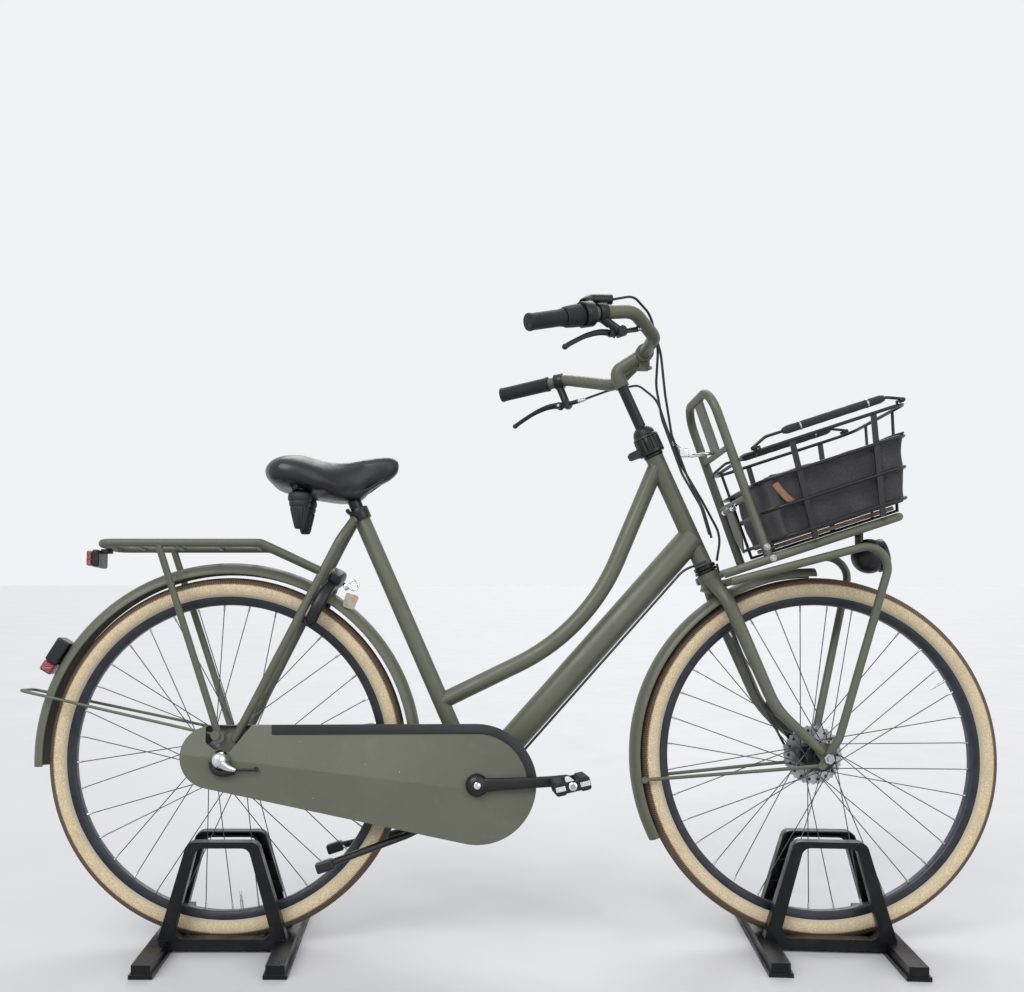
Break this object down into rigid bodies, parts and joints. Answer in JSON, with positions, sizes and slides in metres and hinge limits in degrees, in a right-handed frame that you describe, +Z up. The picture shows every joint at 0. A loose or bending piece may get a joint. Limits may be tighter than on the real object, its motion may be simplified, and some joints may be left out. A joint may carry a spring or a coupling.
{
  "type": "bicycle on stand",
  "caption": "Step-through city bicycle with chaincase, front and rear racks, basket and mudguards, held upright by floor stands under its wheels.",
  "frame": {"origin": "middle of the bottom of the whole object's box, on the floor under the stands", "axes": "+X forward along the bicycle, +Y to the rider's left, +Z up"},
  "size_m": [1.935, 0.6079, 1.2588],
  "materials": {
    "olive_paint": "satin",
    "rack_paint": "satin",
    "black_steel": "satin",
    "black_alloy": "satin",
    "bright_steel": "polished",
    "steel": "satin",
    "hub_alloy": "satin",
    "tyre_rubber": "matte",
    "saddle_vinyl": "satin",
    "black_rubber": "matte",
    "black_plastic": "satin",
    "red_lens": "gloss",
    "clear_lens": "gloss",
    "bag_cloth": "matte",
    "slat_wood": "satin",
    "foam": "matte"
  },
  "bodies": {
    "rear_stand": {"rear_floor_stand": "black_plastic"},
    "frame": {"head_tube": "olive_paint", "top_tube": "olive_paint", "down_tube": "olive_paint", "seat_tube": "olive_paint", "chain_stays": "olive_paint", "seat_stays": "olive_paint", "seat_clamp": "black_steel", "rear_rack": "rack_paint", "rear_mudguard": "olive_paint", "rear_light_housings": "black_plastic", "rear_lenses": "red_lens", "frame_lock": "black_steel", "chaincase": "olive_paint", "chaincase_trim": "black_rubber", "rear_axle": "bright_steel", "chain": "steel", "frame_cable": "black_rubber"},
    "saddle": {"saddle_post": "black_alloy", "saddle_cover": "saddle_vinyl", "saddle_springs": "black_rubber"},
    "lock_shackle": {"lock_shackle": "steel"},
    "rear_wheel": {"rear_tyre": "tyre_rubber", "rear_rim": "black_alloy", "rear_spokes": "steel", "rear_hub": "hub_alloy"},
    "rear_sprocket": {"rear_sprocket": "steel"},
    "crankset": {"crank_arms": "black_alloy", "chainring": "steel"},
    "pedal_right": {"pedal_right": "black_rubber"},
    "pedal_left": {"pedal_left": "black_rubber"},
    "kickstand": {"kickstand": "black_steel"},
    "fork": {"fork": "olive_paint", "stem": "black_alloy", "stem_head": "rack_paint", "handlebar": "rack_paint", "grips": "black_rubber", "brake_brackets": "black_plastic", "control_cables": "black_rubber", "front_rack": "rack_paint", "front_rack_legs": "rack_paint", "rack_fittings": "bright_steel", "headlight": "black_plastic", "headlight_lens": "clear_lens", "front_mudguard": "olive_paint", "front_axle": "steel"},
    "twist_grip": {"twist_grip": "black_rubber"},
    "brake_lever_left": {"brake_lever_left": "black_alloy"},
    "brake_lever_right": {"brake_lever_right": "black_alloy"},
    "rack_clamp": {"rack_clamp": "rack_paint"},
    "front_wheel": {"front_tyre": "tyre_rubber", "front_rim": "black_alloy", "front_spokes": "steel", "front_hub": "hub_alloy"},
    "basket": {"basket": "black_alloy", "basket_base": "slat_wood", "basket_bag": "bag_cloth"},
    "basket_handle_right": {"basket_handle_right": "foam"},
    "basket_handle_left": {"basket_handle_left": "foam"},
    "front_stand": {"front_floor_stand": "black_plastic"}
  },
  "joints": [
    {"name": "bicycle_lift", "type": "slide", "parent": "rear_stand", "child": "frame", "axis": [0, 0, 1], "range_m": [0, 0.22]},
    {"name": "front_stand_follow", "type": "slide", "parent": "fork", "child": "front_stand", "axis": [0, 0, -1], "range_m": [0, 0.22]},
    {"name": "saddle_height", "type": "slide", "parent": "frame", "child": "saddle", "axis": [-0.4011, 0.0719, 0.9132], "range_m": [0, 0.12]},
    {"name": "steering", "type": "hinge", "parent": "frame", "child": "fork", "pos_m": [0.3925, -0.03272, 0.744], "axis": [-0.3995, 0.0719, 0.9139], "range_deg": [-40, 40], "deforming": ["control_cables", "frame_cable"]},
    {"name": "front_wheel_spin", "type": "hinge", "parent": "fork", "child": "front_wheel", "pos_m": [0.6125, -0.06256, 0.36487], "axis": [0, 0.9969, -0.0785], "continuous": true},
    {"name": "rear_wheel_spin", "type": "hinge", "parent": "frame", "child": "rear_wheel", "pos_m": [-0.5595, -0.06256, 0.36487], "axis": [0, 0.9969, -0.0785], "continuous": true},
    {"name": "crank_spin", "type": "hinge", "parent": "frame", "child": "crankset", "pos_m": [-0.068, -0.06632, 0.31702], "axis": [0, 0.9969, -0.0785], "continuous": true},
    {"name": "sprocket_spin", "type": "hinge", "parent": "frame", "child": "rear_sprocket", "pos_m": [-0.5595, -0.06256, 0.36487], "axis": [0, 0.9969, -0.0785], "continuous": true},
    {"name": "pedal_right_spin", "type": "hinge", "parent": "crankset", "child": "pedal_right", "pos_m": [0.10376, -0.21516, 0.33776], "axis": [0, 0.9969, -0.0785], "continuous": true},
    {"name": "pedal_left_spin", "type": "hinge", "parent": "crankset", "child": "pedal_left", "pos_m": [-0.23976, 0.08251, 0.29628], "axis": [0, 0.9969, -0.0785], "continuous": true},
    {"name": "kickstand_fold", "type": "hinge", "parent": "frame", "child": "kickstand", "pos_m": [-0.1595, -0.07276, 0.23527], "axis": [0, -0.9969, 0.0785], "range_deg": [0, 78]},
    {"name": "lock_close", "type": "hinge", "parent": "frame", "child": "lock_shackle", "pos_m": [-0.379, -0.03941, 0.65896], "axis": [0.8922, -0.0354, -0.4503], "range_deg": [0, 108], "stiffness_Nm_per_rad": 0.02, "springref_deg": -34.38},
    {"name": "twist_shift", "type": "hinge", "parent": "fork", "child": "twist_grip", "pos_m": [0.10369, -0.2452, 1.20141], "axis": [-0.8693, -0.4491, -0.2065], "range_deg": [0, 70]},
    {"name": "brake_squeeze_left", "type": "hinge", "parent": "fork", "child": "brake_lever_left", "pos_m": [0.1275, 0.22206, 1.10081], "axis": [0.4942, 0.8667, -0.0682], "range_deg": [0, 16], "stiffness_Nm_per_rad": 1, "springref_deg": -22.92},
    {"name": "brake_squeeze_right", "type": "hinge", "parent": "fork", "child": "brake_lever_right", "pos_m": [0.1815, -0.20416, 1.17849], "axis": [-0.5226, 0.85, -0.0669], "range_deg": [0, 9], "stiffness_Nm_per_rad": 1, "springref_deg": -22.92},
    {"name": "clamp_open", "type": "hinge", "parent": "fork", "child": "rack_clamp", "pos_m": [0.44599, -0.02397, 0.85515], "axis": [0, 0.9969, -0.0785], "range_deg": [0, 28], "stiffness_Nm_per_rad": 0.8, "springref_deg": -28.65},
    {"name": "basket_lift", "type": "slide", "parent": "fork", "child": "basket", "axis": [-0.3113, 0.0746, 0.9474], "range_m": [0, 0.2]},
    {"name": "handle_right_fold", "type": "hinge", "parent": "basket", "child": "basket_handle_right", "pos_m": [0.59048, -0.16809, 1.01046], "axis": [-0.9503, -0.0244, -0.3104], "range_deg": [0, 80]},
    {"name": "handle_left_fold", "type": "hinge", "parent": "basket", "child": "basket_handle_left", "pos_m": [0.59048, 0.14266, 0.986], "axis": [0.9503, 0.0244, 0.3104], "range_deg": [0, 80]}
  ],
  "couplings": [
    {"joint": "front_stand_follow", "follows": "bicycle_lift", "ratio": 1},
    {"joint": "sprocket_spin", "follows": "crank_spin", "ratio": 2.3333}
  ]
}
